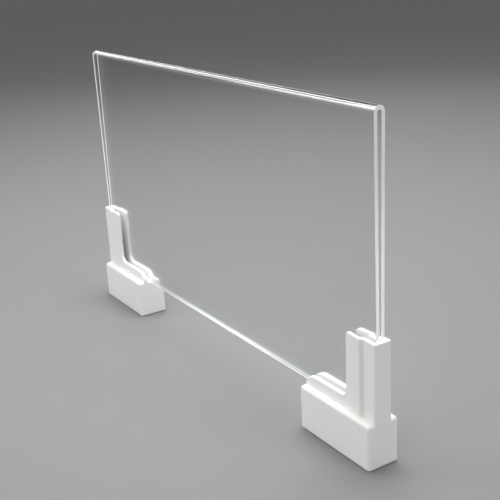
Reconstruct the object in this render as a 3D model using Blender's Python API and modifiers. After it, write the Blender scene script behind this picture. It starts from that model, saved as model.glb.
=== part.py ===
"""Table-top sneeze guard: a clear acrylic sheet, folded double, that stands in two weighted white feet.

The panel runs along X, its two leaves face -Y and +Y, and the feet's pads rest on z = 0.
Each foot is modelled once, in its own frame, with +X pointing outboard. The left foot is the same
foot turned half round, because the moulding is symmetric about the slot's middle plane.
"""

import math

import bmesh
import bpy
from mathutils import Vector

MM = 0.001
CLEARANCE = 0.3 * MM  # between pieces that touch or slide on each other

# The folded panel
PANEL_WIDTH = 600 * MM
PANEL_TOP = 360 * MM
SHEET = 4 * MM
FOLD_DEPTH = 13 * MM  # over both leaves, at the fold
GRIP_DEPTH = 10 * MM  # over both leaves, where the feet pinch them
GRIP_TOP = 145 * MM  # the leaves run parallel below this height
ARRIS = 0.3 * MM  # the flame-polished edges' rounding

# The foot's block
FOOT_LENGTH = 113 * MM
FOOT_DEPTH = 38 * MM
SHELF_HEIGHT = 50.5 * MM
BLOCK_RADIUS = 4.5 * MM  # round the block's top
BLOCK_CORNER = 3 * MM  # down its four upright edges
FOOT_WALL = 3 * MM
HOLLOW_CORNER = 1.5 * MM
CEILING = 4 * MM  # between the hollow and the slot's floor

# The L-shaped holder on the block
END_WALL = 3.7 * MM  # closes the slot at the outboard end
POST_TOP = 135 * MM
POST_INBOARD = 12.5 * MM  # the post's inboard edge, from the foot's middle
POST_CORNER = 5 * MM
POST_FILLET = 10 * MM  # where the post meets the ribs
RIB_TOP = 62.5 * MM
RIB_NOSE = 18 * MM  # length of the ribs' rounded inboard end
RIM_ROUNDING = 1.5 * MM

# The holder in plan, as half widths and distances from the foot's middle
RIB_HALF = 11 * MM
SHOULDER_AT = 35.5 * MM
SHOULDER_HALF = 12.8 * MM
WAIST_AT = 38.7 * MM
WAIST_HALF = 9.6 * MM
END_HALF = 10.5 * MM
END_CORNER = 2 * MM
EASE = 1.8 * MM  # how far from a corner in plan its rounding starts
EASE_STEPS = 3

# The pocket that widens the slot inside the post, from a narrow end that lies within the slot
POCKET_FROM = -10 * MM
POCKET_NARROW_HALF = 3.9 * MM
POCKET_STEP_AT = 31.5 * MM
POCKET_STEP_HALF = 8.6 * MM

# Inside and under each foot
PAD_PROUD = 1 * MM
PAD_RADIUS = 4.5 * MM
PAD_RECESS = 1 * MM
PAD_ROUNDING = 0.4 * MM
PAD_AT = (46 * MM, 10 * MM)
COVER_THICKNESS = 3 * MM
SCREW_AT = 47.5 * MM
SCREW_RADIUS = 1.5 * MM
SCREW_REACH = 14 * MM  # depth of the pilot hole above the cover
SCREW_SHORT = 1.5 * MM  # between the screw's tip and the pilot hole's end
SCREW_POINT = 3 * MM
HEAD_RADIUS = 3.1 * MM
HEAD_HEIGHT = 1.4 * MM
HEAD_CHAMFER = 0.5 * MM
HEAD_POCKET = 1.9 * MM
DRIVE_WIDTH = 0.9 * MM
DRIVE_SPAN = 3.6 * MM
DRIVE_DEPTH = 0.9 * MM
BOSS_WIDTH = 9 * MM
BOSS_LENGTH = 11 * MM
BALLAST_SIZE = (82 * MM, 29 * MM, 41.5 * MM)
BALLAST_ROUNDING = 1 * MM

# Worked out from the sizes above
SLOT_HALF = GRIP_DEPTH / 2 + CLEARANCE
PANEL_FOOT = SHELF_HEIGHT + CLEARANCE
FOOT_END = FOOT_LENGTH / 2
SLOT_END = FOOT_END - END_WALL
FOOT_CENTRE = PANEL_WIDTH / 2 + CLEARANCE - SLOT_END
HOLLOW_LENGTH = FOOT_LENGTH - 2 * FOOT_WALL
HOLLOW_DEPTH = FOOT_DEPTH - 2 * FOOT_WALL
HOLLOW_TOP = SHELF_HEIGHT - CEILING
COVER_TOP = PAD_PROUD + COVER_THICKNESS
OVERCUT = 5 * MM  # how far a cutter runs past the face that it opens
HOLDER_ROOT = SHELF_HEIGHT - 9 * MM  # the holder reaches down into the block to here
STAND = (math.pi / 2, 0, 0)  # turns an outline drawn flat into a side view
WELD = 0.001 * MM
SHARP = math.radians(35)
RIM_ANGLE = math.radians(50)  # edges sharper than this are rounded on the holder
FLAT = math.radians(0.2)


def clear_scene():
    for old in list(bpy.data.objects):
        bpy.data.objects.remove(old, do_unlink=True)


def new_collection(name):
    collection = bpy.data.collections.new(name)
    bpy.context.scene.collection.children.link(collection)
    return collection


def material(name, colour, roughness, metallic=0.0, transmission=0.0):
    made = bpy.data.materials.new(name)
    made.use_nodes = True
    shader = made.node_tree.nodes["Principled BSDF"]
    shader.inputs["Base Color"].default_value = (*colour, 1.0)
    shader.inputs["Roughness"].default_value = roughness
    shader.inputs["Metallic"].default_value = metallic
    shader.inputs["Transmission Weight"].default_value = transmission
    made.diffuse_color = (*colour, 1.0)
    return made


def mesh_object(name, bm, collection, finish=None):
    """An object from a bmesh, with its faces pointing out."""
    bmesh.ops.recalc_face_normals(bm, faces=bm.faces)
    mesh = bpy.data.meshes.new(name)
    bm.to_mesh(mesh)
    bm.free()
    made = bpy.data.objects.new(name, mesh)
    collection.objects.link(made)
    if finish is not None:
        mesh.materials.append(finish)
    return made


def smooth(mesh):
    mesh.shade_smooth()
    mesh.set_sharp_from_angle(angle=SHARP)
    return mesh


def baked(made, finish):
    """The object's mesh with its modifiers applied, in one finish."""
    bpy.context.view_layer.update()
    evaluated = made.evaluated_get(bpy.context.evaluated_depsgraph_get())
    mesh = bpy.data.meshes.new_from_object(evaluated)
    mesh.name = made.name
    mesh.materials.clear()
    mesh.materials.append(finish)
    return smooth(mesh)


def arc(centre, radii, start, end, steps):
    """Points on a circle or an upright ellipse, angles in degrees."""
    points = []
    for step in range(steps + 1):
        angle = math.radians(start + (end - start) * step / steps)
        points.append((centre[0] + radii[0] * math.cos(angle), centre[1] + radii[1] * math.sin(angle)))
    return points


def box(low, high):
    """A bmesh box between two corners."""
    bm = bmesh.new()
    bmesh.ops.create_cube(bm, size=1.0)
    for vert in bm.verts:
        for axis in range(3):
            middle = (low[axis] + high[axis]) / 2
            vert.co[axis] = middle + vert.co[axis] * (high[axis] - low[axis])
    return bm


def extruded(name, outline, low, high, cutters, turn=(0, 0, 0)):
    """A flat outline, filled, thickened from low to high and then turned, as a mesh."""
    curve = bpy.data.curves.new(name, "CURVE")
    curve.dimensions = "2D"
    curve.fill_mode = "BOTH"
    curve.extrude = (high - low) / 2
    spline = curve.splines.new("POLY")
    spline.points.add(len(outline) - 1)
    for point, (across, up) in zip(spline.points, outline):
        point.co = (across, up, 0, 1)
    spline.use_cyclic_u = True
    flat = bpy.data.objects.new(name, curve)
    flat.rotation_euler = turn
    cutters.objects.link(flat)
    bpy.context.view_layer.update()
    mesh = bpy.data.meshes.new_from_object(flat.evaluated_get(bpy.context.evaluated_depsgraph_get()))
    bm = bmesh.new()
    bm.from_mesh(mesh)
    bmesh.ops.remove_doubles(bm, verts=bm.verts, dist=WELD)
    bmesh.ops.translate(bm, verts=bm.verts, vec=(0, 0, (low + high) / 2))
    bm.transform(flat.matrix_world)
    bpy.data.objects.remove(flat)
    bpy.data.meshes.remove(mesh)
    return cutter(name, bm, cutters)


def round_edges(bm, radius, segments, wanted):
    edges = [edge for edge in bm.edges if wanted(edge)]
    bmesh.ops.bevel(bm, geom=edges, offset=radius, segments=segments, profile=0.5, affect="EDGES")


def upright(edge):
    a, b = edge.verts
    return abs(a.co.z - b.co.z) > abs(a.co.x - b.co.x) + abs(a.co.y - b.co.y)


def cutter(name, bm, cutters):
    made = mesh_object(name, bm, cutters)
    made.hide_render = True
    made.display_type = "WIRE"
    return made


def boolean(made, other, operation):
    modifier = made.modifiers.new(other.name, "BOOLEAN")
    modifier.operation = operation
    modifier.solver = "EXACT"
    modifier.object = other


def folded_panel(parts, finish):
    """One sheet: up the front leaf, round the fold and down the back leaf, then given its thickness."""
    fold_radius = (FOLD_DEPTH - SHEET) / 2
    fold_centre = PANEL_TOP - FOLD_DEPTH / 2
    grip_half = (GRIP_DEPTH - SHEET) / 2
    front = [(-grip_half, PANEL_FOOT), (-grip_half, GRIP_TOP)]
    back = [(-y, z) for y, z in reversed(front)]
    profile = front + arc((0, fold_centre), (fold_radius, fold_radius), 180, 0, 20) + back
    bm = bmesh.new()
    line = [bm.verts.new((-PANEL_WIDTH / 2, y, z)) for y, z in profile]
    edges = [bm.edges.new(pair) for pair in zip(line, line[1:])]
    drawn = bmesh.ops.extrude_edge_only(bm, edges=edges)
    moved = [item for item in drawn["geom"] if isinstance(item, bmesh.types.BMVert)]
    bmesh.ops.translate(bm, verts=moved, vec=(PANEL_WIDTH, 0, 0))
    panel = mesh_object("folded_panel", bm, parts, finish)
    thicken = panel.modifiers.new("sheet thickness", "SOLIDIFY")
    thicken.thickness = SHEET
    thicken.offset = 0.0
    thicken.use_even_offset = True
    polish = panel.modifiers.new("polished edges", "BEVEL")
    polish.width = ARRIS
    polish.segments = 2
    polish.limit_method = "ANGLE"
    polish.angle_limit = math.radians(40)
    smooth(panel.data)


def block(name, cutters):
    """The foot's block, with its top rounded more than its upright edges."""
    low = (-FOOT_END, -FOOT_DEPTH / 2, PAD_PROUD)
    high = (FOOT_END, FOOT_DEPTH / 2, SHELF_HEIGHT)
    bm = box(low, high)
    share = bm.edges.layers.float.new("bevel_weight_edge")
    for edge in bm.edges:
        if upright(edge):
            edge[share] = BLOCK_CORNER / BLOCK_RADIUS
        elif min(vert.co.z for vert in edge.verts) > SHELF_HEIGHT - OVERCUT:
            edge[share] = 1.0
    made = cutter(name, bm, cutters)
    rounded = made.modifiers.new("rounded edges", "BEVEL")
    rounded.width = BLOCK_RADIUS
    rounded.segments = 4
    rounded.limit_method = "WEIGHT"
    return made


def eased(before, corner, after):
    """Points that round a corner along a parabola, which starts EASE before it and ends EASE after it."""
    corner = Vector(corner)
    start = corner + (Vector(before) - corner).normalized() * EASE
    end = corner + (Vector(after) - corner).normalized() * EASE
    points = []
    for step in range(EASE_STEPS + 1):
        t = step / EASE_STEPS
        points.append(tuple(start * (1 - t) ** 2 + corner * 2 * t * (1 - t) + end * t**2))
    return points


def holder_plan():
    """The ribs and post from above: wider to the shoulder, then stepped in to the rounded end."""
    throat = (POST_INBOARD, RIB_HALF)
    shoulder = (SHOULDER_AT, SHOULDER_HALF)
    waist = (WAIST_AT, WAIST_HALF)
    corner = (FOOT_END - END_CORNER, END_HALF - END_CORNER)
    half = [(-FOOT_END, RIB_HALF), throat]
    half += eased(throat, shoulder, waist) + eased(shoulder, waist, (corner[0], END_HALF))
    half += arc(corner, (END_CORNER, END_CORNER), 90, 0, 4)
    return half + [(x, -y) for x, y in reversed(half)]


def holder_side():
    """The ribs' rounded nose, the fillet up to the post, and the post's rounded top corner."""
    nose = (RIB_NOSE - FOOT_END, SHELF_HEIGHT)
    fillet = (POST_INBOARD - POST_FILLET, RIB_TOP + POST_FILLET)
    top = (POST_INBOARD + POST_CORNER, POST_TOP - POST_CORNER)
    outline = [(-FOOT_END, HOLDER_ROOT)]
    outline += arc(nose, (RIB_NOSE, RIB_TOP - SHELF_HEIGHT), 180, 90, 7)
    outline += arc(fillet, (POST_FILLET, POST_FILLET), -90, 0, 6)
    outline += arc(top, (POST_CORNER, POST_CORNER), 180, 90, 5)
    return outline + [(FOOT_END, POST_TOP), (FOOT_END, HOLDER_ROOT)]


def pocket_plan():
    """Widens the slot steadily inside the post, then closes to a point with 45 degree sides."""
    narrow = (POCKET_FROM, POCKET_NARROW_HALF)
    wide = (POCKET_STEP_AT, POCKET_STEP_HALF)
    point = (POCKET_STEP_AT + POCKET_STEP_HALF, 0)
    half = [narrow] + eased(narrow, wide, point)
    return half + [point] + [(x, -y) for x, y in reversed(half)]


def rounded_holder(holder, cutters):
    """The cut holder made a mesh, with its outer corners and rims rounded."""
    bpy.context.view_layer.update()
    mesh = bpy.data.meshes.new_from_object(holder.evaluated_get(bpy.context.evaluated_depsgraph_get()))
    bm = bmesh.new()
    bm.from_mesh(mesh)
    bpy.data.meshes.remove(mesh)
    bmesh.ops.remove_doubles(bm, verts=bm.verts, dist=WELD)
    bmesh.ops.dissolve_limit(bm, angle_limit=FLAT, verts=bm.verts, edges=bm.edges)

    def wanted(edge):
        top = max(vert.co.z for vert in edge.verts)
        return top > HOLDER_ROOT + CLEARANCE and edge.is_convex and edge.calc_face_angle() > RIM_ANGLE

    round_edges(bm, RIM_ROUNDING, 2, wanted)
    return cutter("rounded_holder", bm, cutters)


def hollow():
    low = (-HOLLOW_LENGTH / 2, -HOLLOW_DEPTH / 2, PAD_PROUD - OVERCUT)
    high = (HOLLOW_LENGTH / 2, HOLLOW_DEPTH / 2, HOLLOW_TOP)
    bm = box(low, high)
    round_edges(bm, HOLLOW_CORNER, 3, upright)
    return bm


def boss(side):
    """The column that takes a cover screw, joined to the hollow's end wall and ceiling."""
    inner = HOLLOW_LENGTH / 2 - BOSS_LENGTH
    outer = HOLLOW_LENGTH / 2 + FOOT_WALL / 2
    bottom = COVER_TOP + CLEARANCE
    return box(
        (min(side * inner, side * outer), -BOSS_WIDTH / 2, bottom),
        (max(side * inner, side * outer), BOSS_WIDTH / 2, HOLLOW_TOP + CEILING / 2),
    )


def rod(radius, low, high, at, segments=20):
    """An upright bmesh cylinder."""
    bm = bmesh.new()
    bmesh.ops.create_cone(
        bm, cap_ends=True, segments=segments, radius1=radius, radius2=radius, depth=high - low
    )
    bmesh.ops.translate(bm, verts=bm.verts, vec=(at[0], at[1], (low + high) / 2))
    return bm


def foot_mesh(finish, cutters):
    """The whole moulding: the slotted holder joined to the block, and the block hollowed."""
    holder = extruded("holder", holder_side(), -FOOT_DEPTH / 2, FOOT_DEPTH / 2, cutters, STAND)
    plan = extruded("holder_plan", holder_plan(), 0, POST_TOP + OVERCUT, cutters)
    slot_low = (-FOOT_END - OVERCUT, -SLOT_HALF, HOLDER_ROOT - OVERCUT)
    slot_high = (SLOT_END, SLOT_HALF, POST_TOP + OVERCUT)
    slot = cutter("slot", box(slot_low, slot_high), cutters)
    pocket = extruded("pocket", pocket_plan(), slot_low[2], slot_high[2], cutters)
    void = cutter("hollow", hollow(), cutters)
    boolean(holder, plan, "INTERSECT")
    boolean(holder, slot, "DIFFERENCE")
    boolean(holder, pocket, "DIFFERENCE")
    foot = block("foot", cutters)
    boolean(foot, rounded_holder(holder, cutters), "UNION")
    boolean(foot, void, "DIFFERENCE")
    for side, place in ((-1, "inner"), (1, "outer")):
        column = cutter("boss_" + place, boss(side), cutters)
        boolean(foot, column, "UNION")
    for side, place in ((-1, "inner"), (1, "outer")):
        at = (side * SCREW_AT, 0)
        pilot = rod(SCREW_RADIUS + CLEARANCE, 0, COVER_TOP + SCREW_REACH, at)
        boolean(foot, cutter("pilot_" + place, pilot, cutters), "DIFFERENCE")
    return baked(foot, finish)


def cover_mesh(finish, cutters):
    """The plate under the hollow, with screw holes and recesses for the pads."""
    length = HOLLOW_LENGTH / 2 - CLEARANCE
    depth = HOLLOW_DEPTH / 2 - CLEARANCE
    bm = box((-length, -depth, PAD_PROUD), (length, depth, COVER_TOP))
    round_edges(bm, HOLLOW_CORNER, 3, upright)
    plate = cutter("cover", bm, cutters)
    for side in (-1, 1):
        at = (side * SCREW_AT, 0)
        hole = rod(SCREW_RADIUS + CLEARANCE, -OVERCUT, COVER_TOP + OVERCUT, at)
        pocket = rod(HEAD_RADIUS + CLEARANCE, -OVERCUT, PAD_PROUD + HEAD_POCKET, at)
        boolean(plate, cutter("cover_hole", hole, cutters), "DIFFERENCE")
        boolean(plate, cutter("head_pocket", pocket, cutters), "DIFFERENCE")
        for row in (-1, 1):
            spot = (side * PAD_AT[0], row * PAD_AT[1])
            recess = rod(PAD_RADIUS + CLEARANCE, -OVERCUT, PAD_PROUD + PAD_RECESS, spot)
            boolean(plate, cutter("pad_recess", recess, cutters), "DIFFERENCE")
    return baked(plate, finish)


def ballast_mesh(finish, cutters):
    """A steel bar with broken edges, which fills the hollow between the bosses."""
    length, depth, height = BALLAST_SIZE
    bottom = COVER_TOP + CLEARANCE
    bm = box((-length / 2, -depth / 2, bottom), (length / 2, depth / 2, bottom + height))
    round_edges(bm, BALLAST_ROUNDING, 2, lambda edge: True)
    return baked(cutter("ballast", bm, cutters), finish)


def pad_mesh(finish, cutters):
    """A round pad with its lower edge rounded, standing on z = 0."""
    bm = rod(PAD_RADIUS, 0, PAD_PROUD + PAD_RECESS - CLEARANCE, (0, 0), 24)
    round_edges(bm, PAD_ROUNDING, 2, lambda edge: max(vert.co.z for vert in edge.verts) < WELD)
    return baked(cutter("pad", bm, cutters), finish)


def screw_mesh(finish, cutters):
    """A turned pan-head screw, point up, with a cross cut into its head."""
    head = PAD_PROUD + HEAD_POCKET - CLEARANCE - HEAD_HEIGHT
    neck = head + HEAD_HEIGHT
    tip = COVER_TOP + SCREW_REACH - SCREW_SHORT
    profile = [(0, tip), (SCREW_RADIUS, tip - SCREW_POINT), (SCREW_RADIUS, neck), (HEAD_RADIUS, neck)]
    profile += [(HEAD_RADIUS, head + HEAD_CHAMFER), (HEAD_RADIUS - HEAD_CHAMFER, head), (0, head)]
    bm = bmesh.new()
    verts = [bm.verts.new((x, 0, z)) for x, z in profile]
    for first, second in zip(verts, verts[1:]):
        bm.edges.new((first, second))
    screw = cutter("screw", bm, cutters)
    turn = screw.modifiers.new("turned", "SCREW")
    turn.steps = 16
    turn.render_steps = 16
    turn.use_merge_vertices = True
    turn.merge_threshold = 0.00001
    for length, width in ((DRIVE_SPAN, DRIVE_WIDTH), (DRIVE_WIDTH, DRIVE_SPAN)):
        low = (-length / 2, -width / 2, head - OVERCUT)
        high = (length / 2, width / 2, head + DRIVE_DEPTH)
        boolean(screw, cutter("drive", box(low, high), cutters), "DIFFERENCE")
    return baked(screw, finish)


def place(name, mesh, group, parts, at=(0, 0, 0)):
    made = bpy.data.objects.new(name, mesh)
    made.parent = group
    made.location = at
    parts.objects.link(made)
    return made


def foot(side, direction, meshes, parts):
    """One whole foot, under an empty that sits on its slide's axis."""
    group = bpy.data.objects.new(side + "_foot", None)
    group.location = (direction * FOOT_CENTRE, 0, 0)
    group.rotation_euler = (0, 0, 0 if direction > 0 else math.pi)
    parts.objects.link(group)
    place(side + "_foot_shell", meshes["shell"], group, parts)
    place(side + "_ballast_bar", meshes["ballast"], group, parts)
    place(side + "_base_cover", meshes["cover"], group, parts)
    for end, name in ((-1, "inner"), (1, "outer")):
        place(side + "_cover_screw_" + name, meshes["screw"], group, parts, (end * SCREW_AT, 0, 0))
        for row, face in ((-1, "front"), (1, "back")):
            spot = (end * PAD_AT[0], row * PAD_AT[1] * direction, 0)
            place(side + "_pad_" + face + "_" + name, meshes["pad"], group, parts, spot)


def main():
    clear_scene()
    parts = new_collection("sneeze_guard")
    cutters = new_collection("cutters")
    cutters.hide_render = True
    acrylic = material("clear_acrylic", (0.92, 0.95, 0.95), 0.05, transmission=1.0)
    white = material("white_plastic", (0.85, 0.85, 0.84), 0.35)
    steel = material("steel", (0.56, 0.56, 0.57), 0.4, metallic=1.0)
    zinc = material("zinc_plated_steel", (0.7, 0.7, 0.72), 0.3, metallic=1.0)
    rubber = material("grey_rubber", (0.09, 0.09, 0.09), 0.8)
    folded_panel(parts, acrylic)
    meshes = {
        "shell": foot_mesh(white, cutters),
        "ballast": ballast_mesh(steel, cutters),
        "cover": cover_mesh(white, cutters),
        "screw": screw_mesh(zinc, cutters),
        "pad": pad_mesh(rubber, cutters),
    }
    foot("left", -1, meshes, parts)
    foot("right", 1, meshes, parts)


main()
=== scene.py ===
"""Counter-top sneeze guard, laid out as an add-on: a folded acrylic sheet in two moulded feet.

One operator makes each piece or group of like pieces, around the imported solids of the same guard.
"""

import math

import bmesh
import bpy
from bpy.props import FloatProperty, FloatVectorProperty, IntProperty, PointerProperty
from mathutils import Matrix, Vector


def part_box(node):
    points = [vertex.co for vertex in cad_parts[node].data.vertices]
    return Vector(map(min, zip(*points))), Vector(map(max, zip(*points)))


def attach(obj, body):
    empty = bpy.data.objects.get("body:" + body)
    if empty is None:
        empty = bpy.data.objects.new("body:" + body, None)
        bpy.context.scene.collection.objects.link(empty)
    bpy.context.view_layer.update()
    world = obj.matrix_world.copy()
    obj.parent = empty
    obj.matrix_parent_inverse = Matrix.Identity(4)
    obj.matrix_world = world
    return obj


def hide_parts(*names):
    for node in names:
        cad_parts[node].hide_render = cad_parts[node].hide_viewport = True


bl_info = {
    "name": "Folded Sneeze Guard",
    "version": (1, 0, 0),
    "blender": (4, 5, 0),
    "location": "3D View > Sidebar > Sneeze Guard",
    "description": "Makes a folded acrylic sneeze guard, its weighted feet and a small studio",
    "category": "Add Mesh",
}

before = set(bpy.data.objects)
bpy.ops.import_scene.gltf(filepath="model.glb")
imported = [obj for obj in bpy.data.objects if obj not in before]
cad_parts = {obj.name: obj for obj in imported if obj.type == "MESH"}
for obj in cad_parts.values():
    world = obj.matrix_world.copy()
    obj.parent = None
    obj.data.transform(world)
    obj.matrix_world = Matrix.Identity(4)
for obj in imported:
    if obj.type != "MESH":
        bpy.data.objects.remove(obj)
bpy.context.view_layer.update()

SIDES = {"left": -1, "right": 1}
PANEL_LOW, PANEL_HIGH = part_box("folded_panel")
SHELL_LOW, SHELL_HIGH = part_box("right_foot_shell")
FOOT_CENTRE = (SHELL_LOW[0] + SHELL_HIGH[0]) / 2
FOOT_END = (SHELL_HIGH[0] - SHELL_LOW[0]) / 2
FOOT_HALF_DEPTH = SHELL_HIGH[1]
UNDERSIDE = SHELL_LOW[2]
POST_TOP = SHELL_HIGH[2]
PANEL_FOOT = PANEL_LOW[2]

ENDS = (-1, 1)  # a foot's inboard and outboard ends in its own frame
CLEARANCE = 0.0003  # between pieces that touch
OVERCUT = 0.005  # how far a cutter reaches past what it cuts
SHARP = math.radians(40)  # corners above this angle keep a sharp edge in the shading
RIM_ANGLE = math.radians(50)  # the holder's corners above this angle are rounded
FLAT = math.radians(0.2)  # faces closer to one plane than this are joined into one
WELD = 1e-6

# Each lamp's width, length and place in metres, and the point that they all face
LAMPS = {
    "overhead": ((1.6, 1.2), (-0.25, 0.35, 1.7)),
    "key": ((1.0, 0.9), (-0.9, -0.95, 1.15)),
    "front": ((1.4, 1.4), (0.6, -1.9, 1.1)),
    "behind": ((0.5, 1.6), (2.1, 0.9, 0.9)),
    "along": ((1.8, 0.2), (-1.6, 1.2, 0.95)),
}
LAMPS_FACE = (0.0, 0.0, 0.15)
FLOOR_HALF = 15.0
SENSOR = 36.0  # width of the camera's sensor in millimetres

# Places of a Mix node's colour sockets, which share their names with its number sockets
MIX_FIRST, MIX_SECOND, MIX_RESULT = 6, 7, 2


def own_frame(node):
    """The corners of a node of the right foot, seen from the foot's own middle."""
    return [(corner[0] - FOOT_CENTRE, corner[1], corner[2]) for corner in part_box(node)]


COVER_LOW, COVER_HIGH = own_frame("right_base_cover")
PAD_LOW, PAD_HIGH = own_frame("right_pad_back_outer")
SCREW_LOW, SCREW_HIGH = own_frame("right_cover_screw_outer")
BALLAST_LOW, BALLAST_HIGH = own_frame("right_ballast_bar")
PAD_AT = ((PAD_LOW[0] + PAD_HIGH[0]) / 2, (PAD_LOW[1] + PAD_HIGH[1]) / 2)
PAD_RADIUS = (PAD_HIGH[0] - PAD_LOW[0]) / 2
SCREW_AT = (SCREW_LOW[0] + SCREW_HIGH[0]) / 2
HEAD_RADIUS = (SCREW_HIGH[0] - SCREW_LOW[0]) / 2
HOLLOW_TOP = BALLAST_HIGH[2] + CLEARANCE * 2


# Settings


def length(name, description, default):
    return FloatProperty(name=name, description=description, default=default, unit="LENGTH", precision=5)


def colour(name, description, default):
    return FloatVectorProperty(name=name, description=description, default=default, subtype="COLOR")


def factor(name, description, default):
    return FloatProperty(name=name, description=description, default=default, subtype="FACTOR")


def angle(name, description, degrees):
    turned_by = math.radians(degrees)
    return FloatProperty(name=name, description=description, default=turned_by, unit="ROTATION")


def number(name, description, default):
    return FloatProperty(name=name, description=description, default=default)


class PanelSettings(bpy.types.PropertyGroup):
    """Sizes and finish of the folded sheet."""

    sheet: length("Sheet", "Thickness of the acrylic sheet", 0.004)
    grip_depth: length("Grip depth", "Depth over both leaves inside the feet", 0.010)
    grip_top: length("Grip top", "Height below which the leaves run parallel", 0.145)
    arris: length("Arris", "Rounding of the polished edges", 0.0004)
    fold_steps: IntProperty(name="Fold steps", description="Points round the fold", default=49)
    tint: colour("Tint", "Body colour of the sheet", (0.955, 0.965, 0.963))
    edge_colour: colour("Edge colour", "Colour of light scattered by the cut edges", (0.94, 0.95, 0.95))
    edge_frost: factor("Edge frost", "How far the upright cut edges scatter light", 0.85)
    foot_frost: factor("Foot frost", "How far the lower cut edges scatter light", 0.4)
    # Strength of the painted glow on the upright cut edges, an emission that stands in for light piped
    # along the sheet.
    edge_glow: factor("Edge glow", "Light that the sheet gathers and gives out at its upright edges", 0.35)
    refraction: number("Refractive index", "Bending of light in acrylic", 1.49)


class FootSettings(bpy.types.PropertyGroup):
    """Sizes and finish of the moulded feet."""

    shelf_height: length("Shelf height", "Top of the block and floor of the slot", 0.0505)
    block_radius: length("Block radius", "Rounding of the block's top", 0.0045)
    block_corner: length("Block corner", "Rounding of the block's upright edges", 0.003)
    hollow_corner: length("Hollow corner", "Rounding of the hollow's and the cover's corners", 0.0015)
    end_wall: length("End wall", "Wall that closes the slot's outboard end", 0.0037)
    post_inboard: length("Post inboard", "Post's inboard edge from the foot's middle", 0.0125)
    post_corner: length("Post corner", "Radius of the post's top inboard corner", 0.005)
    post_fillet: length("Post fillet", "Radius where the post meets the ribs", 0.010)
    rib_top: length("Rib top", "Height of the ribs", 0.0625)
    rib_half: length("Rib half", "Half width over both ribs", 0.011)
    rib_nose: length("Rib nose", "Length of the ribs' rounded inboard end", 0.018)
    shoulder_at: length("Shoulder at", "Shoulder from the foot's middle", 0.0355)
    shoulder_half: length("Shoulder half", "Half width of the post at its shoulder", 0.0128)
    waist_at: length("Waist at", "Foot of the shoulder's step from the foot's middle", 0.0387)
    waist_half: length("Waist half", "Half width of the post at the foot of the step", 0.0096)
    end_half: length("End half", "Half width of the post at its outboard end", 0.0105)
    end_corner: length("End corner", "Radius of the post's outboard corners", 0.002)
    pocket_from: length("Pocket from", "Pocket's narrow end, which lies within the slot", -0.010)
    pocket_narrow_half: length("Pocket narrow half", "Half width of the pocket's narrow end", 0.0039)
    pocket_step_at: length("Pocket step at", "Pocket's widest place from the foot's middle", 0.0315)
    pocket_step_half: length("Pocket step half", "Half width of the pocket at its widest", 0.0086)
    rim: length("Rim", "Rounding of the holder's upper edges", 0.0015)
    ease: length("Ease", "How far from a corner in plan its rounding starts", 0.0018)
    plastic: colour("Plastic", "Colour of the white moulding", (0.845, 0.845, 0.83))
    holder_root: length("Holder root", "How deep the holder is sunk into the block", 0.009)
    boss_inboard: length("Boss inboard", "Boss's inboard face from its screw", 0.005)
    boss_outboard: length("Boss outboard", "Boss's outboard face from its screw", 0.0075)
    boss_half: length("Boss half", "Half width of a screw's boss", 0.0045)
    boss_sunk: length("Boss sunk", "How far a boss is sunk into the ceiling", 0.002)
    hole_radius: length("Hole radius", "Radius of the screws' holes", 0.0018)
    pilot_spare: length("Pilot spare", "Depth of a pilot hole beyond its screw", 0.0015)
    head_recess: length("Head recess", "Depth of the recesses for the screws' heads", 0.0019)
    cover_edge: length("Cover edge", "Rounding of the cover's edges", 0.0002)
    cover_plastic: colour("Cover plastic", "Colour of the base cover", (0.74, 0.74, 0.725))


class HardwareSettings(bpy.types.PropertyGroup):
    """Sizes and finish of the pads, screws and ballast."""

    pad_groove: length("Pad groove", "Depth of the ring moulded into each pad", 0.0003)
    pad_rounding: length("Pad rounding", "Rounding of each pad's lower edge", 0.0005)
    pad_chamfer: length("Pad chamfer", "Chamfer of each pad's upper edge", 0.0002)
    pad_ring: factor("Pad ring", "Radius of the groove as a share of the pad's", 0.6)
    screw_pitch: length("Screw pitch", "Distance from thread to thread", 0.0012)
    screw_radius: length("Screw radius", "Radius over the thread", 0.0015)
    screw_core: factor("Screw core", "Radius between the threads as a share of the screw's", 0.74)
    screw_point: length("Screw point", "Length of the screws' tapered points", 0.003)
    screw_blunt: factor("Screw blunt", "Radius at the very tip as a share of the screw's", 0.12)
    head_height: length("Head height", "Height of the screws' heads", 0.0014)
    head_crown: length("Head crown", "Rounding of the heads' edges", 0.0009)
    thread_sunk: length("Thread sunk", "How far the thread starts inside the head", 0.0002)
    cross_length: length("Cross length", "Length of the cross in each head", 0.0036)
    cross_width: length("Cross width", "Width and depth of the cross's slots", 0.0009)
    bar_edge: length("Bar edge", "Rounding of the ballast bar's edges", 0.001)
    rubber: colour("Rubber", "Colour of the pads", (0.045, 0.045, 0.046))
    steel: colour("Steel", "Colour of the ballast bar", (0.34, 0.335, 0.33))
    zinc: colour("Zinc", "Colour of the screws' plating", (0.66, 0.67, 0.70))


class StageSettings(bpy.types.PropertyGroup):
    """Floor, lights and camera."""

    floor: colour("Floor", "Colour of the floor", (0.20, 0.20, 0.202))
    sky: number("Sky", "Strength of the even studio light", 0.36)
    overhead: number("Overhead", "Power of the overhead lamp in watts", 36.0)
    key: number("Key", "Power of the raised lamp at the left in watts", 9.0)
    front: number("Front", "Power of the front lamp in watts", 14.5)
    behind: number("Behind", "Power of the lamp behind at the right in watts", 12.0)
    along: number("Along", "Power of the narrow lamp behind at the left in watts", 5.0)
    eye: FloatVectorProperty(
        name="Eye",
        description="Camera's place",
        default=(0.91144, -0.52038, 0.51108),
        subtype="TRANSLATION",
    )
    azimuth: angle("Azimuth", "Turn from +Y", 58.11)
    tilt: angle("Tilt", "Angle below level", 19.28)
    roll: angle("Roll", "Roll of the camera", -3.06)
    lens: number("Lens", "Focal length in millimetres", 66.415)


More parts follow.
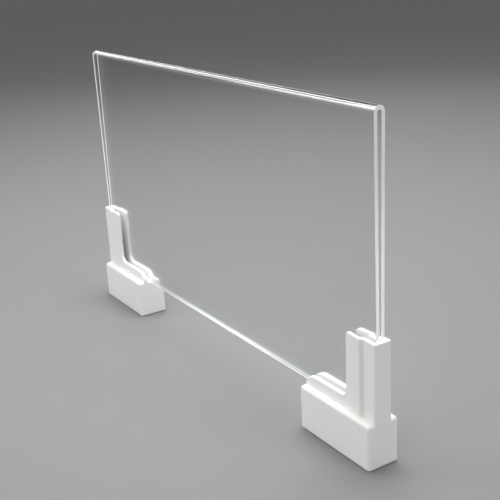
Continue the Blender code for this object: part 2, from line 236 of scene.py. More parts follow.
class GuardSettings(bpy.types.PropertyGroup):
    """All the settings of the guard."""

    panel: PointerProperty(type=PanelSettings, name="Panel", description="The folded sheet")
    foot: PointerProperty(type=FootSettings, name="Foot", description="The moulded feet")
    hardware: PointerProperty(
        type=HardwareSettings, name="Hardware", description="Pads, screws and ballast"
    )
    stage: PointerProperty(type=StageSettings, name="Stage", description="Floor, lights and camera")


# Shader maths


class Wire:
    """A number's socket in a node tree. Arithmetic on it adds Math nodes."""

    def __init__(self, tree, socket):
        self.tree = tree
        self.socket = socket

    def math(self, operation, *values):
        made = self.tree.nodes.new("ShaderNodeMath")
        made.operation = operation
        for socket, value in zip(made.inputs, values):
            plug(self.tree, socket, value)
        return Wire(self.tree, made.outputs[0])

    def __add__(self, other):
        return self.math("ADD", self, other)

    def __sub__(self, other):
        return self.math("SUBTRACT", self, other)

    def __rsub__(self, other):
        return self.math("SUBTRACT", other, self)

    def __mul__(self, other):
        return self.math("MULTIPLY", self, other)

    def __truediv__(self, other):
        return self.math("DIVIDE", self, other)

    def __abs__(self):
        return self.math("ABSOLUTE", self)

    def above(self, edge):
        return self.math("GREATER_THAN", self, edge)

    def below(self, edge):
        return self.math("LESS_THAN", self, edge)

    def larger(self, other):
        return self.math("MAXIMUM", self, other)


def plug(tree, socket, value):
    """Links a wire to a socket, or sets the socket's own value."""
    if isinstance(value, Wire):
        tree.links.new(value.socket, socket)
    elif hasattr(value, "__len__") and len(value) == 3 and socket.type == "RGBA":
        socket.default_value = (*value, 1.0)
    else:
        socket.default_value = value


class Finish:
    """A material in the making, with a Principled shader on its output."""

    def __init__(self, name):
        self.material = bpy.data.materials.new(name)
        self.material.use_nodes = True
        self.tree = self.material.node_tree
        self.shader = self.tree.nodes["Principled BSDF"]
        self.output = self.tree.nodes["Material Output"]

    def node(self, kind, settings=None, inputs=None, output=0):
        """Any node: its settings are made first, then its sockets. Gives one of its outputs."""
        made = self.tree.nodes.new(kind)
        for name, value in (settings or {}).items():
            setattr(made, name, value)
        for name, value in (inputs or {}).items():
            plug(self.tree, made.inputs[name], value)
        return Wire(self.tree, made.outputs[output])

    def set(self, **values):
        for name, value in values.items():
            plug(self.tree, self.shader.inputs[name.replace("_", " ")], value)

    def place(self, stretch=(1, 1, 1)):
        """Object coordinates in metres, stretched for patterns with a direction."""
        where = self.node("ShaderNodeTexCoord", output="Object")
        return self.node("ShaderNodeMapping", inputs={"Vector": where, "Scale": stretch})

    def axes(self):
        """Object coordinates' three parts."""
        where = self.node("ShaderNodeTexCoord", output="Object")
        parts = self.node("ShaderNodeSeparateXYZ", inputs={"Vector": where})
        return [Wire(self.tree, parts.socket.node.outputs[axis]) for axis in range(3)]

    def noise(self, scale, detail=2.0, rough=0.5, stretch=(1, 1, 1)):
        inputs = {"Vector": self.place(stretch), "Scale": scale, "Detail": detail, "Roughness": rough}
        return self.node("ShaderNodeTexNoise", inputs=inputs)

    def ramp(self, value, low, high, start=0.0, end=1.0):
        """Maps value's range from low to high onto start to end, smoothly and clamped."""
        inputs = {"Value": value, "From Min": low, "From Max": high, "To Min": start, "To Max": end}
        return self.node("ShaderNodeMapRange", {"interpolation_type": "SMOOTHSTEP"}, inputs)

    def blend(self, share, first, second):
        """A colour between two colours."""
        made = self.tree.nodes.new("ShaderNodeMix")
        made.data_type = "RGBA"
        plug(self.tree, made.inputs["Factor"], share)
        plug(self.tree, made.inputs[MIX_FIRST], first)
        plug(self.tree, made.inputs[MIX_SECOND], second)
        return Wire(self.tree, made.outputs[MIX_RESULT])

    def bump(self, height, depth):
        """Raises the surface by up to the depth in metres."""
        inputs = {"Height": height, "Distance": depth, "Strength": 1.0}
        self.set(Normal=self.node("ShaderNodeBump", inputs=inputs))

    def layer(self, share, under, over):
        """A Mix Shader from one shader's socket to another's."""
        made = self.tree.nodes.new("ShaderNodeMixShader")
        plug(self.tree, made.inputs["Fac"], share)
        plug(self.tree, made.inputs[1], under)
        plug(self.tree, made.inputs[2], over)
        return Wire(self.tree, made.outputs[0])

    def show(self, surface):
        plug(self.tree, self.output.inputs["Surface"], surface)


def shade(value, share):
    return tuple(channel * share for channel in value)


def clear_acrylic(settings):
    """Polished cast acrylic, with faint wipe marks on its faces, satin cut edges and a painted glow on the
    upright edges.

    Lamps' rays pass straight through it, so its shadow is pale.
    """
    made = Finish("clear_acrylic")
    x, _, z = made.axes()
    wiped = made.noise(9.0, detail=4.0, rough=0.6, stretch=(1.0, 1.0, 0.35))
    smears = made.ramp(wiped, low=0.52, high=0.8)
    made.set(
        Base_Color=tuple(settings.tint),
        Roughness=smears * 0.02 + 0.004,
        IOR=settings.refraction,
        Transmission_Weight=1.0,
    )
    ends = abs(x).above(PANEL_HIGH[0] - settings.arris * 0.5)
    lower = z.below(PANEL_FOOT + settings.arris * 0.5)
    cut = ends.larger(lower)
    streaks = made.noise(900.0, detail=2.0, rough=0.6, stretch=(1.0, 1.0, 0.04))
    made.bump(streaks * cut, depth=0.00001)
    # Painted glow: emission on the upright cut edges, stronger lower down, that stands in for light piped
    # along the sheet.
    glow = shade(settings.edge_colour, settings.edge_glow)
    brighter_below = made.ramp(z, low=0.32, high=0.2, start=0.35, end=1.0)
    painted_edge_glow = made.blend(ends * brighter_below, (0.0, 0.0, 0.0), glow)
    satin = made.node(
        "ShaderNodeBsdfPrincipled",
        inputs={
            "Base Color": tuple(settings.edge_colour),
            "Roughness": 0.35,
            "IOR": settings.refraction,
            "Emission Color": painted_edge_glow,
            "Emission Strength": 1.0,
        },
    )
    clear = Wire(made.tree, made.shader.outputs[0])
    amount = (ends * settings.edge_frost).larger(lower * settings.foot_frost)
    frost = amount * made.ramp(streaks, low=0.3, high=0.7, start=0.88, end=1.0)
    surface = made.layer(frost, clear, satin)
    lamp_ray = made.node("ShaderNodeLightPath", output="Is Shadow Ray")
    through = made.node("ShaderNodeBsdfTransparent", inputs={"Color": (0.91, 0.915, 0.915)})
    made.show(made.layer(lamp_ray, surface, through))
    return made.material


def white_plastic(settings):
    """Satin injection moulding: fine spark texture, faint flow shading, scuffed along its foot."""
    made = Finish("white_plastic")
    _, _, z = made.axes()
    grain = made.noise(2600.0, detail=3.0, rough=0.6)
    flow = made.noise(38.0, detail=2.0, rough=0.5)
    marks = made.ramp(made.noise(420.0, detail=4.0, rough=0.65), low=0.56, high=0.72)
    scuffs = marks * made.ramp(z, low=0.006, high=0.001)
    body = made.blend(flow, shade(settings.plastic, 0.985), shade(settings.plastic, 1.015))
    made.set(
        Base_Color=made.blend(scuffs * 0.35, body, shade(settings.plastic, 0.72)),
        Roughness=grain * 0.08 + flow * 0.05 + 0.32,
        IOR=1.5,
        Subsurface_Weight=0.08,
        Subsurface_Radius=(0.004, 0.004, 0.0035),
        Subsurface_Scale=1.0,
    )
    made.bump(grain, depth=0.000012)
    return made.material


def cover_plastic(settings):
    """The base cover's duller moulding, with a coarser texture."""
    made = Finish("cover_plastic")
    grain = made.noise(1500.0, detail=3.0, rough=0.6)
    drift = made.noise(60.0, detail=2.0, rough=0.5)
    low, high = shade(settings.cover_plastic, 0.97), shade(settings.cover_plastic, 1.02)
    made.set(Base_Color=made.blend(drift, low, high), Roughness=grain * 0.12 + 0.5, IOR=1.5)
    made.bump(grain, depth=0.00003)
    return made.material


def pad_rubber(settings):
    """Dull moulded rubber with a little dust on it."""
    made = Finish("pad_rubber")
    grain = made.noise(3200.0, detail=3.0, rough=0.65)
    dust = made.ramp(made.noise(520.0, detail=4.0, rough=0.6), low=0.5, high=0.8)
    made.set(
        Base_Color=made.blend(dust * 0.4, tuple(settings.rubber), (0.16, 0.155, 0.15)),
        Roughness=grain * 0.15 + 0.68,
    )
    made.bump(grain, depth=0.00002)
    return made.material


def mill_steel(settings):
    """Hot-rolled bar: patches of grey scale over brighter steel, drawn along its length."""
    made = Finish("mill_steel")
    drawn = made.noise(700.0, detail=3.0, rough=0.6, stretch=(0.06, 1.0, 1.0))
    scale = made.ramp(made.noise(85.0, detail=5.0, rough=0.62), low=0.42, high=0.62)
    made.set(
        Base_Color=made.blend(scale, tuple(settings.steel), shade(settings.steel, 0.45)),
        Metallic=1.0 - scale * 0.35,
        Roughness=drawn * 0.18 + scale * 0.2 + 0.28,
    )
    made.bump(drawn + scale * 0.6, depth=0.00003)
    return made.material


def zinc_plate(settings):
    """Bright zinc plating with a slight cloudiness."""
    made = Finish("zinc_plate")
    cloud = made.noise(900.0, detail=3.0, rough=0.6)
    made.set(
        Base_Color=made.blend(cloud, shade(settings.zinc, 0.85), tuple(settings.zinc)),
        Metallic=1.0,
        Roughness=cloud * 0.18 + 0.2,
    )
    made.bump(cloud, depth=0.00001)
    return made.material


# Mesh making


def evaluated_mesh(made):
    bpy.context.view_layer.update()
    return bpy.data.meshes.new_from_object(made.evaluated_get(bpy.context.evaluated_depsgraph_get()))


def scratch(name, data):
    """An object linked to the scene: a helper, which is removed before the scene is finished, or the
    floor, which stays.
    """
    made = bpy.data.objects.new(name, data)
    bpy.context.scene.collection.objects.link(made)
    return made


def discard(*helpers):
    for helper in helpers:
        data = helper.data
        bpy.data.objects.remove(helper, do_unlink=True)
        if isinstance(data, bpy.types.Mesh) and not data.users:
            bpy.data.meshes.remove(data)


def to_object(name, bm):
    bmesh.ops.recalc_face_normals(bm, faces=bm.faces)
    mesh = bpy.data.meshes.new(name)
    bm.to_mesh(mesh)
    bm.free()
    return scratch(name, mesh)


def box(low, high):
    bm = bmesh.new()
    bmesh.ops.create_cube(bm, size=1.0)
    for vert in bm.verts:
        vert.co = [(a + b) / 2 + c * (b - a) for a, b, c in zip(low, high, vert.co)]
    return bm


def rod(radius, low, high, at, segments=48):
    bm = bmesh.new()
    bmesh.ops.create_cone(
        bm, cap_ends=True, segments=segments, radius1=radius, radius2=radius, depth=high - low
    )
    bmesh.ops.translate(bm, verts=bm.verts, vec=(at[0], at[1], (low + high) / 2))
    return bm


def turned(profile, segments):
    """A closed round shape from (radius, height) points that begin and end on the axis."""
    bm = bmesh.new()
    verts = [bm.verts.new((radius, 0, height)) for radius, height in profile]
    edges = [bm.edges.new(pair) for pair in zip(verts, verts[1:])]
    bmesh.ops.spin(
        bm,
        geom=verts + edges,
        cent=(0, 0, 0),
        axis=(0, 0, 1),
        angle=math.tau,
        steps=segments,
        use_merge=True,
    )
    bmesh.ops.remove_doubles(bm, verts=bm.verts, dist=WELD)
    return bm


def arc(centre, radii, start, end, steps):
    points = []
    for step in range(steps + 1):
        turn = math.radians(start + (end - start) * step / steps)
        points.append((centre[0] + radii[0] * math.cos(turn), centre[1] + radii[1] * math.sin(turn)))
    return points


def eased(before, corner, after, reach, steps=8):
    """Points that round a corner along a parabola, which starts and ends at the reach from it."""
    corner = Vector(corner)
    start = corner + (Vector(before) - corner).normalized() * reach
    end = corner + (Vector(after) - corner).normalized() * reach
    points = []
    for step in range(steps + 1):
        t = step / steps
        points.append(tuple(start * (1 - t) ** 2 + corner * 2 * t * (1 - t) + end * t**2))
    return points


def extruded(name, outline, low, high, upright=False):
    """A filled outline given a thickness. An upright one is a side view, and the others are plans."""
    bm = bmesh.new()
    face = bm.faces.new([bm.verts.new((x, y, low)) for x, y in outline])
    region = bmesh.ops.extrude_face_region(bm, geom=[face])
    moved = [item for item in region["geom"] if isinstance(item, bmesh.types.BMVert)]
    bmesh.ops.translate(bm, verts=moved, vec=(0, 0, high - low))
    if upright:
        bm.transform(Matrix.Rotation(math.pi / 2, 4, "X"))
    return to_object(name, bm)


def round_edges(bm, radius, segments, wanted):
    edges = [edge for edge in bm.edges if wanted(edge)]
    bmesh.ops.bevel(bm, geom=edges, offset=radius, segments=segments, profile=0.5, affect="EDGES")


def upright_edge(edge):
    a, b = edge.verts
    return abs(a.co.z - b.co.z) > abs(a.co.x - b.co.x) + abs(a.co.y - b.co.y)


def boolean(made, other, operation="DIFFERENCE"):
    modifier = made.modifiers.new(other.name, "BOOLEAN")
    modifier.operation = operation
    modifier.solver = "EXACT"
    modifier.object = other


def rounding(made, width, segments, above):
    """Rounds every edge whose faces turn by more than an angle."""
    modifier = made.modifiers.new("rounding", "BEVEL")
    modifier.width = width
    modifier.segments = segments
    modifier.limit_method = "ANGLE"
    modifier.angle_limit = above
    modifier.miter_outer = "MITER_ARC"


def even_shading(mesh):
    """Smooth shading with sharp corners kept, and flat faces shaded flat up to their roundings."""
    mesh.shade_smooth()
    mesh.set_sharp_from_angle(angle=SHARP)
    holder = scratch("shading", mesh)
    modifier = holder.modifiers.new("weighted", "WEIGHTED_NORMAL")
    modifier.keep_sharp = True
    modifier.weight = 90
    result = evaluated_mesh(holder)
    discard(holder)
    return result


def foot_matrix(side):
    """From a foot's own frame, +X outboard, to the guard's."""
    direction = SIDES[side]
    turn = Matrix.Rotation(0 if direction > 0 else math.pi, 4, "Z")
    return Matrix.Translation((direction * FOOT_CENTRE, 0, 0)) @ turn


def piece(name, mesh, finish, body, nodes, matrix=None):
    """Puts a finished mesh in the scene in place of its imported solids, riding on their body."""
    own = mesh.copy()
    own.name = name
    if matrix is not None:
        own.transform(matrix)
    own.materials.clear()
    own.materials.append(finish)
    made = bpy.data.objects.new(name, own)
    bpy.context.scene.collection.objects.link(made)
    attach(made, body)
    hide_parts(*nodes)
    return made


# Geometry Nodes


class Tree:
    """A geometry tree in the making."""

    def __init__(self, name, sizes, others=()):
        self.tree = bpy.data.node_groups.new(name, "GeometryNodeTree")
        face = self.tree.interface
        face.new_socket("Geometry", in_out="OUTPUT", socket_type="NodeSocketGeometry")
        for size in sizes:
            face.new_socket(size, in_out="INPUT", socket_type="NodeSocketFloat")
        for other, kind in others:
            face.new_socket(other, in_out="INPUT", socket_type=kind)
        self.entry = self.tree.nodes.new("NodeGroupInput")

    def given(self, name):
        return Wire(self.tree, self.entry.outputs[name])

    def node(self, kind, settings=None, inputs=None, output=0):
        made = self.tree.nodes.new(kind)
        for name, value in (settings or {}).items():
            setattr(made, name, value)
        for name, value in (inputs or {}).items():
            plug(self.tree, made.inputs[name], value)
        return Wire(self.tree, made.outputs[output])

    def vector(self, x=0.0, y=0.0, z=0.0):
        return self.node("ShaderNodeCombineXYZ", inputs={"X": x, "Y": y, "Z": z})

    def finish(self, geometry):
        real = self.node("GeometryNodeRealizeInstances", inputs={"Geometry": geometry})
        inputs = {"Geometry": real, "Material": self.given("Material")}
        dressed = self.node("GeometryNodeSetMaterial", inputs=inputs)
        end = self.tree.nodes.new("NodeGroupOutput")
        plug(self.tree, end.inputs["Geometry"], dressed)

    def attach(self, made, values):
        """Puts the tree on an object, with its inputs set by their identifiers."""
        modifier = made.modifiers.new(self.tree.name, "NODES")
        modifier.node_group = self.tree
        for item in self.tree.interface.items_tree:
            if item.in_out == "INPUT" and item.name in values:
                modifier[item.identifier] = values[item.name]


def hairpin_tree():
    """One line bent into a hairpin, arc first and then both leaves, drawn out along the panel."""
    sizes = ("Width", "Top", "Bottom", "Fold radius", "Fold depth", "Grip half", "Grip top")
    others = (("Fold steps", "NodeSocketInt"), ("Material", "NodeSocketMaterial"))
    tree = Tree("hairpin_sheet", sizes, others)
    radius = tree.given("Fold radius")
    steps = tree.given("Fold steps")
    centre = tree.given("Top") - tree.given("Fold depth") / 2
    bend = tree.node(
        "GeometryNodeCurveArc",
        {"mode": "RADIUS"},
        {"Resolution": steps, "Radius": radius, "Start Angle": 0.0, "Sweep Angle": math.pi},
    )
    stood = tree.node(
        "GeometryNodeTransform",
        inputs={
            "Geometry": bend,
            "Rotation": (math.pi / 2, 0.0, math.pi / 2),
            "Translation": tree.vector(x=tree.given("Width") * -0.5, z=centre),
        },
    )
    line = tree.node("GeometryNodeCurveToMesh", inputs={"Curve": stood})
    index = tree.node("GeometryNodeInputIndex")
    back = index.below(0.5)
    ends = back + index.above(steps - 1.5)
    inward = (tree.given("Grip half") - radius) * (back * 2.0 - 1.0)
    lean = tree.vector(y=inward, z=tree.given("Grip top") - centre)
    leaves = tree.node(
        "GeometryNodeExtrudeMesh",
        {"mode": "VERTICES"},
        {"Mesh": line, "Selection": ends, "Offset": lean},
    )
    leaf_tips = Wire(tree.tree, leaves.socket.node.outputs["Top"])
    drop = tree.vector(z=tree.given("Bottom") - tree.given("Grip top"))
    grips = tree.node(
        "GeometryNodeExtrudeMesh",
        {"mode": "VERTICES"},
        {"Mesh": leaves, "Selection": leaf_tips, "Offset": drop},
    )
    along = tree.vector(x=tree.given("Width"))
    sheet = tree.node("GeometryNodeExtrudeMesh", {"mode": "EDGES"}, {"Mesh": grips, "Offset": along})
    tree.finish(sheet)
    return tree


def repeat_tree():
    """Copies of one object at the corners of a rectangle, or in a row where its depth is nought."""
    tree = Tree(
        "repeat_at_corners",
        ("Spread X", "Spread Y"),
        (("Rows", "NodeSocketInt"), ("Item", "NodeSocketObject"), ("Material", "NodeSocketMaterial")),
    )
    corners = tree.node(
        "GeometryNodeMeshGrid",
        inputs={
            "Size X": tree.given("Spread X"),
            "Size Y": tree.given("Spread Y"),
            "Vertices X": 2,
            "Vertices Y": tree.given("Rows"),
        },
    )
    item = tree.node("GeometryNodeObjectInfo", inputs={"Object": tree.given("Item")}, output="Geometry")
    copies = tree.node("GeometryNodeInstanceOnPoints", inputs={"Points": corners, "Instance": item})
    tree.finish(copies)
    return tree


def repeated(name, item, spread, rows, finish):
    """A mesh that holds an item at each corner of a spread, made by the repeating tree."""
    holder = scratch(name, bpy.data.meshes.new(name))
    values = {"Spread X": spread[0], "Spread Y": spread[1], "Rows": rows, "Item": item, "Material": finish}
    repeat_tree().attach(holder, values)
    mesh = evaluated_mesh(holder)
    discard(holder)
    return mesh


# Operators


class SNEEZE_OT_panel(bpy.types.Operator):
    """Make the folded acrylic panel"""

    bl_idname = "sneeze.panel"
    bl_label = "Folded Panel"

    def execute(self, context):
        settings = context.scene.sneeze_guard.panel
        finish = clear_acrylic(settings)
        fold_depth = PANEL_HIGH[1] - PANEL_LOW[1]
        line = scratch("sheet_line", bpy.data.meshes.new("sheet_line"))
        values = {
            "Width": PANEL_HIGH[0] - PANEL_LOW[0],
            "Top": PANEL_HIGH[2],
            "Bottom": PANEL_FOOT,
            "Fold radius": (fold_depth - settings.sheet) / 2,
            "Fold depth": fold_depth,
            "Grip half": (settings.grip_depth - settings.sheet) / 2,
            "Grip top": settings.grip_top,
            "Fold steps": settings.fold_steps,
            "Material": finish,
        }
        hairpin_tree().attach(line, values)
        bm = bmesh.new()
        bm.from_mesh(evaluated_mesh(line))
        sheet = to_object("sheet", bm)
        thick = sheet.modifiers.new("thickness", "SOLIDIFY")
        thick.thickness = settings.sheet
        thick.offset = 0.0
        thick.use_even_offset = True
        rounding(sheet, settings.arris, segments=3, above=SHARP)
        mesh = evaluated_mesh(sheet)
        discard(line, sheet)
        piece("panel_sheet", even_shading(mesh), finish, "panel", ["folded_panel"])
        return {"FINISHED"}


class SNEEZE_OT_feet(bpy.types.Operator):
    """Make the two moulded foot shells"""

    bl_idname = "sneeze.feet"
    bl_label = "Foot Shells"

    def holder_plan(self, foot):
        """The ribs and post from above: wider to the shoulder, then stepped in to the rounded end."""
        throat = (foot.post_inboard, foot.rib_half)
        shoulder = (foot.shoulder_at, foot.shoulder_half)
        waist = (foot.waist_at, foot.waist_half)
        corner = (FOOT_END - foot.end_corner, foot.end_half - foot.end_corner)
        half = [(-FOOT_END, foot.rib_half), throat]
        half += eased(throat, shoulder, waist, foot.ease)
        half += eased(shoulder, waist, (corner[0], foot.end_half), foot.ease)
        half += arc(corner, (foot.end_corner, foot.end_corner), 90, 0, 8)
        return half + [(x, -y) for x, y in reversed(half)]

    def holder_side(self, foot, root):
        """The ribs' rounded nose, the fillet up to the post, and the post's rounded top corner."""
        nose = (foot.rib_nose - FOOT_END, foot.shelf_height)
        fillet = (foot.post_inboard - foot.post_fillet, foot.rib_top + foot.post_fillet)
        top = (foot.post_inboard + foot.post_corner, POST_TOP - foot.post_corner)
        outline = [(-FOOT_END, root)]
        outline += arc(nose, (foot.rib_nose, foot.rib_top - foot.shelf_height), 180, 90, 18)
        outline += arc(fillet, (foot.post_fillet, foot.post_fillet), -90, 0, 14)
        outline += arc(top, (foot.post_corner, foot.post_corner), 180, 90, 10)
        return outline + [(FOOT_END, POST_TOP), (FOOT_END, root)]

    def pocket_plan(self, foot):
        """Widens the slot steadily inside the post, then closes to a point with 45 degree sides."""
        narrow = (foot.pocket_from, foot.pocket_narrow_half)
        wide = (foot.pocket_step_at, foot.pocket_step_half)
        point = (foot.pocket_step_at + foot.pocket_step_half, 0)
        half = [narrow] + eased(narrow, wide, point, foot.ease)
        return half + [point] + [(x, -y) for x, y in reversed(half)]

    def rounded(self, holder, foot, root):
        """The cut holder made a mesh, with its outer corners and rims rounded."""
        bm = bmesh.new()
        bm.from_mesh(evaluated_mesh(holder))
        bmesh.ops.remove_doubles(bm, verts=bm.verts, dist=WELD)
        bmesh.ops.dissolve_limit(bm, angle_limit=FLAT, verts=bm.verts, edges=bm.edges)

        def wanted(edge):
            top = max(vert.co.z for vert in edge.verts)
            return top > root + CLEARANCE and edge.is_convex and edge.calc_face_angle() > RIM_ANGLE

        round_edges(bm, foot.rim, 6, wanted)
        return to_object("rounded_holder", bm)

    def block(self, foot):
        """The block, with its top rounded more than its upright edges."""
        low = (-FOOT_END, -FOOT_HALF_DEPTH, UNDERSIDE)
        high = (FOOT_END, FOOT_HALF_DEPTH, foot.shelf_height)
        bm = box(low, high)
        share = bm.edges.layers.float.new("bevel_weight_edge")
        for edge in bm.edges:
            if upright_edge(edge):
                edge[share] = foot.block_corner / foot.block_radius
            elif min(vert.co.z for vert in edge.verts) > foot.shelf_height - OVERCUT:
                edge[share] = 1.0
        made = to_object("block", bm)
        modifier = made.modifiers.new("rounded edges", "BEVEL")
        modifier.width = foot.block_radius
        modifier.segments = 8
        modifier.limit_method = "WEIGHT"
        return made

    def hollow(self, foot):
        """The hollow, as long and deep as the cover with its clearance, up to just above the ballast."""
        across = (COVER_HIGH[0] - COVER_LOW[0]) / 2 + CLEARANCE
        deep = (COVER_HIGH[1] - COVER_LOW[1]) / 2 + CLEARANCE
        low = (-across, -deep, UNDERSIDE - OVERCUT)
        high = (across, deep, HOLLOW_TOP)
        bm = box(low, high)
        round_edges(bm, foot.hollow_corner, 5, upright_edge)
        return to_object("hollow", bm)

    def bosses(self, foot):
        """What the screws bite into, from just above the cover up into the ceiling."""
        made = []
        for end in ENDS:
            sides = sorted((end * (SCREW_AT - foot.boss_inboard), end * (SCREW_AT + foot.boss_outboard)))
            low = (sides[0], -foot.boss_half, COVER_HIGH[2] + CLEARANCE)
            high = (sides[1], foot.boss_half, HOLLOW_TOP + foot.boss_sunk)
            made.append(to_object("boss", box(low, high)))
        return made

    def pilots(self, foot):
        """The screws' holes in the bosses, cut from beneath."""
        made = []
        for end in ENDS:
            hole = rod(foot.hole_radius, 0, SCREW_HIGH[2] + foot.pilot_spare, (end * SCREW_AT, 0), 32)
            made.append(to_object("pilot", hole))
        return made

    def execute(self, context):
        foot = context.scene.sneeze_guard.foot
        finish = white_plastic(foot)
        root = foot.shelf_height - foot.holder_root
        slot_half = context.scene.sneeze_guard.panel.grip_depth / 2 + CLEARANCE
        bottom, top = root - OVERCUT, POST_TOP + OVERCUT
        side_view = self.holder_side(foot, root)
        holder = extruded("holder", side_view, -FOOT_HALF_DEPTH, FOOT_HALF_DEPTH, upright=True)
        plan = extruded("plan", self.holder_plan(foot), 0, top)
        slot_low = (-FOOT_END - OVERCUT, -slot_half, bottom)
        slot = to_object("slot", box(slot_low, (FOOT_END - foot.end_wall, slot_half, top)))
        pocket = extruded("pocket", self.pocket_plan(foot), bottom, top)
        boolean(holder, plan, "INTERSECT")
        boolean(holder, slot)
        boolean(holder, pocket)
        rounded = self.rounded(holder, foot, root)
        block = self.block(foot)
        hollow = self.hollow(foot)
        boolean(block, rounded, "UNION")
        block.modifiers[-1].use_self = True
        boolean(block, hollow)
        bosses = self.bosses(foot)
        for boss in bosses:
            boolean(block, boss, "UNION")
        pilots = self.pilots(foot)
        for pilot in pilots:
            boolean(block, pilot)
        mesh = even_shading(evaluated_mesh(block))
        discard(block, rounded, holder, plan, slot, pocket, hollow, *bosses, *pilots)
        for side in SIDES:
            node = side + "_foot_shell"
            piece(side + "_shell", mesh, finish, side + "_foot", [node], foot_matrix(side))
        return {"FINISHED"}


class SNEEZE_OT_covers(bpy.types.Operator):
    """Make the plates under the feet"""

    bl_idname = "sneeze.covers"
    bl_label = "Base Covers"

    def execute(self, context):
        settings = context.scene.sneeze_guard.foot
        finish = cover_plastic(settings)
        bm = box(COVER_LOW, COVER_HIGH)
        round_edges(bm, settings.hollow_corner, 5, upright_edge)
        plate = to_object("plate", bm)
        cutters = []
        recess_top = COVER_LOW[2] + settings.head_recess
        pad_top = PAD_HIGH[2] + CLEARANCE
        for end in ENDS:
            at = (end * SCREW_AT, 0)
            hole = rod(settings.hole_radius, -OVERCUT, COVER_HIGH[2] + OVERCUT, at)
            cutters.append(to_object("hole", hole))
            cutters.append(to_object("recess", rod(HEAD_RADIUS + CLEARANCE, -OVERCUT, recess_top, at)))
            for row in (-1, 1):
                at = (end * PAD_AT[0], row * PAD_AT[1])
                cutters.append(to_object("seat", rod(PAD_RADIUS + CLEARANCE, -OVERCUT, pad_top, at)))
        for cutter in cutters:
            boolean(plate, cutter)
        rounding(plate, settings.cover_edge, segments=2, above=math.radians(60))
        mesh = even_shading(evaluated_mesh(plate))
        discard(plate, *cutters)
        for side in SIDES:
            node = side + "_base_cover"
            piece(side + "_cover", mesh, finish, side + "_foot", [node], foot_matrix(side))
        return {"FINISHED"}


class SNEEZE_OT_ballast(bpy.types.Operator):
    """Make the steel bars in the feet"""

    bl_idname = "sneeze.ballast"
    bl_label = "Ballast Bars"

    def execute(self, context):
        settings = context.scene.sneeze_guard.hardware
        finish = mill_steel(settings)
        bm = box(BALLAST_LOW, BALLAST_HIGH)
        round_edges(bm, settings.bar_edge, 5, lambda edge: True)
        bar = to_object("bar", bm)
        mesh = even_shading(evaluated_mesh(bar))
        discard(bar)
        for side in SIDES:
            node = side + "_ballast_bar"
            piece(side + "_ballast", mesh, finish, side + "_foot", [node], foot_matrix(side))
        return {"FINISHED"}


class SNEEZE_OT_screws(bpy.types.Operator):
    """Make the threaded screws that hold the covers"""

    bl_idname = "sneeze.screws"
    bl_label = "Cover Screws"

    def threaded(self, settings, low, high):
        """A closed rod whose radius rises and falls along a helix, and narrows to its tip."""
        around, along = 24, 84
        core = settings.screw_core
        bm = bmesh.new()
        rings = []
        for level in range(along + 1):
            z = low + (high - low) * level / along
            taper = min(1.0, (high - z) / settings.screw_point + settings.screw_blunt)
            ring = []
            for step in range(around):
                phase = (z / settings.screw_pitch - step / around) % 1.0
                ridge = abs(phase - 0.5) * 2
                reach = settings.screw_radius * taper * (core + (1 - core) * ridge)
                turn = math.tau * step / around
                ring.append(bm.verts.new((reach * math.cos(turn), reach * math.sin(turn), z)))
            rings.append(ring)
        for under, over in zip(rings, rings[1:]):
            for step in range(around):
                after = (step + 1) % around
                bm.faces.new((under[step], under[after], over[after], over[step]))
        bm.faces.new(list(reversed(rings[0])))
        bm.faces.new(rings[-1])
        return to_object("thread", bm)

    def execute(self, context):
        settings = context.scene.sneeze_guard.hardware
        finish = zinc_plate(settings)
        bottom = SCREW_LOW[2]
        neck = bottom + settings.head_height
        crown = settings.head_crown
        edge = arc((HEAD_RADIUS - crown, bottom + crown), (crown, crown), -90, 0, 6)
        profile = [(0, bottom)] + edge + [(HEAD_RADIUS, neck), (0, neck)]
        head = to_object("head", turned(profile, 48))
        thread = self.threaded(settings, neck - settings.thread_sunk, SCREW_HIGH[2])
        boolean(head, thread, "UNION")
        helpers = [head, thread]
        long, wide = settings.cross_length, settings.cross_width
        for across, deep in ((long, wide), (wide, long)):
            low = (-across / 2, -deep / 2, bottom - OVERCUT)
            cross = to_object("cross", box(low, (across / 2, deep / 2, bottom + wide)))
            boolean(head, cross)
            helpers.append(cross)
        item = scratch("screw", even_shading(evaluated_mesh(head)))
        discard(*helpers)
        mesh = repeated("screws", item, (2 * SCREW_AT, 0.0), 1, finish)
        discard(item)
        for side in SIDES:
            nodes = [side + "_cover_screw_" + end for end in ("inner", "outer")]
            body = side + "_foot"
            piece(side + "_screws", mesh, finish, body, nodes, foot_matrix(side))
        return {"FINISHED"}


class SNEEZE_OT_pads(bpy.types.Operator):
    """Make the rubber pads under the feet"""

    bl_idname = "sneeze.pads"
    bl_label = "Rubber Pads"

    def execute(self, context):
        settings = context.scene.sneeze_guard.hardware
        finish = pad_rubber(settings)
        top = PAD_HIGH[2]
        soft = settings.pad_rounding
        groove = settings.pad_groove
        ring = PAD_RADIUS * settings.pad_ring
        profile = [(0, 0.0), (ring - 2 * groove, 0.0), (ring - groove, groove), (ring + groove, groove)]
        profile += [(ring + 2 * groove, 0.0)]
        profile += arc((PAD_RADIUS - soft, soft), (soft, soft), -90, 0, 5)
        profile += [(PAD_RADIUS, top - settings.pad_chamfer), (PAD_RADIUS - settings.pad_chamfer, top)]
        profile += [(0, top)]
        shaped = to_object("pad", turned(profile, 48))
        item = scratch("pad_item", even_shading(evaluated_mesh(shaped)))
        mesh = repeated("pads", item, (2 * PAD_AT[0], 2 * PAD_AT[1]), 2, finish)
        discard(item, shaped)
        for side in SIDES:
            corners = [(face, end) for face in ("front", "back") for end in ("inner", "outer")]
            nodes = [side + "_pad_" + face + "_" + end for face, end in corners]
            piece(side + "_pads", mesh, finish, side + "_foot", nodes, foot_matrix(side))
        return {"FINISHED"}


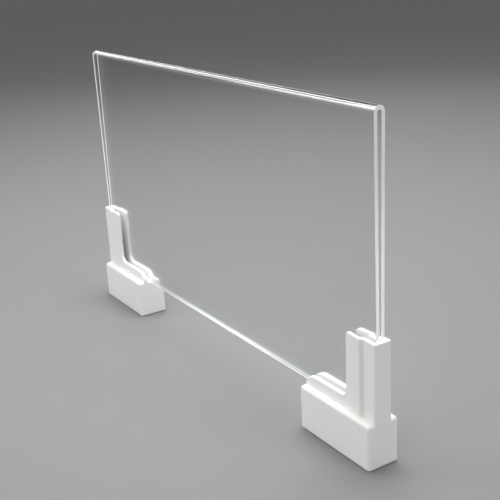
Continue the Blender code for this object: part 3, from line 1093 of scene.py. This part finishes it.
class SNEEZE_OT_stage(bpy.types.Operator):
    """Make the floor, the soft lights and the camera"""

    bl_idname = "sneeze.stage"
    bl_label = "Studio"

    def floor(self, settings):
        bm = bmesh.new()
        bmesh.ops.create_grid(bm, x_segments=1, y_segments=1, size=FLOOR_HALF)
        mesh = bpy.data.meshes.new("floor")
        bm.to_mesh(mesh)
        bm.free()
        made = Finish("pale_floor")
        mottle = made.noise(3.0, detail=3.0, rough=0.5)
        tone = made.blend(mottle, shade(settings.floor, 0.99), shade(settings.floor, 1.01))
        made.set(Base_Color=tone, Roughness=0.65)
        mesh.materials.append(made.material)
        scratch("floor", mesh)

    def light(self, name, watts, size, place):
        lamp = bpy.data.lights.new(name, "AREA")
        lamp.energy = watts
        lamp.shape = "RECTANGLE"
        lamp.size, lamp.size_y = size
        made = bpy.data.objects.new(name, lamp)
        made.location = place
        made.rotation_euler = (Vector(LAMPS_FACE) - Vector(place)).to_track_quat("-Z", "Y").to_euler()
        bpy.context.scene.collection.objects.link(made)

    def camera(self, settings):
        azimuth, tilt, roll = settings.azimuth, settings.tilt, settings.roll
        ahead = Vector((-math.sin(azimuth), math.cos(azimuth), 0))
        forward = ahead * math.cos(tilt) - Vector((0, 0, math.sin(tilt)))
        level = Vector((math.cos(azimuth), math.sin(azimuth), 0))
        over = level.cross(forward)
        right = level * math.cos(roll) + over * math.sin(roll)
        up = over * math.cos(roll) - level * math.sin(roll)
        turn = Matrix((right, up, -forward)).transposed().to_4x4()
        lens = bpy.data.cameras.new("camera")
        lens.lens = settings.lens
        lens.sensor_width = SENSOR
        made = bpy.data.objects.new("camera", lens)
        made.matrix_world = Matrix.Translation(settings.eye) @ turn
        bpy.context.scene.collection.objects.link(made)
        bpy.context.scene.camera = made

    def execute(self, context):
        settings = context.scene.sneeze_guard.stage
        self.floor(settings)
        for name, (size, place) in LAMPS.items():
            self.light(name, getattr(settings, name), size, place)
        sky = bpy.data.worlds.new("studio")
        sky.use_nodes = True
        backdrop = sky.node_tree.nodes["Background"]
        backdrop.inputs["Color"].default_value = (1.0, 1.0, 1.0, 1.0)
        backdrop.inputs["Strength"].default_value = settings.sky
        context.scene.world = sky
        context.scene.view_settings.view_transform = "Standard"
        self.camera(settings)
        return {"FINISHED"}


OPERATORS = (
    SNEEZE_OT_panel,
    SNEEZE_OT_feet,
    SNEEZE_OT_covers,
    SNEEZE_OT_ballast,
    SNEEZE_OT_screws,
    SNEEZE_OT_pads,
    SNEEZE_OT_stage,
)


class SNEEZE_PT_sidebar(bpy.types.Panel):
    """Lists the guard's pieces in the sidebar"""

    bl_idname = "SNEEZE_PT_sidebar"
    bl_label = "Sneeze Guard"
    bl_space_type = "VIEW_3D"
    bl_region_type = "UI"
    bl_category = "Sneeze Guard"

    def draw(self, context):
        for operator in OPERATORS:
            self.layout.operator(operator.bl_idname)


GROUPS = (PanelSettings, FootSettings, HardwareSettings, StageSettings, GuardSettings)


def register():
    for item in GROUPS + OPERATORS + (SNEEZE_PT_sidebar,):
        bpy.utils.register_class(item)
    bpy.types.Scene.sneeze_guard = PointerProperty(type=GuardSettings)


def unregister():
    del bpy.types.Scene.sneeze_guard
    for item in reversed(GROUPS + OPERATORS + (SNEEZE_PT_sidebar,)):
        bpy.utils.unregister_class(item)


def main():
    register()
    bpy.ops.sneeze.panel()
    bpy.ops.sneeze.feet()
    bpy.ops.sneeze.covers()
    bpy.ops.sneeze.ballast()
    bpy.ops.sneeze.screws()
    bpy.ops.sneeze.pads()
    bpy.ops.sneeze.stage()


if __name__ == "__main__":
    main()
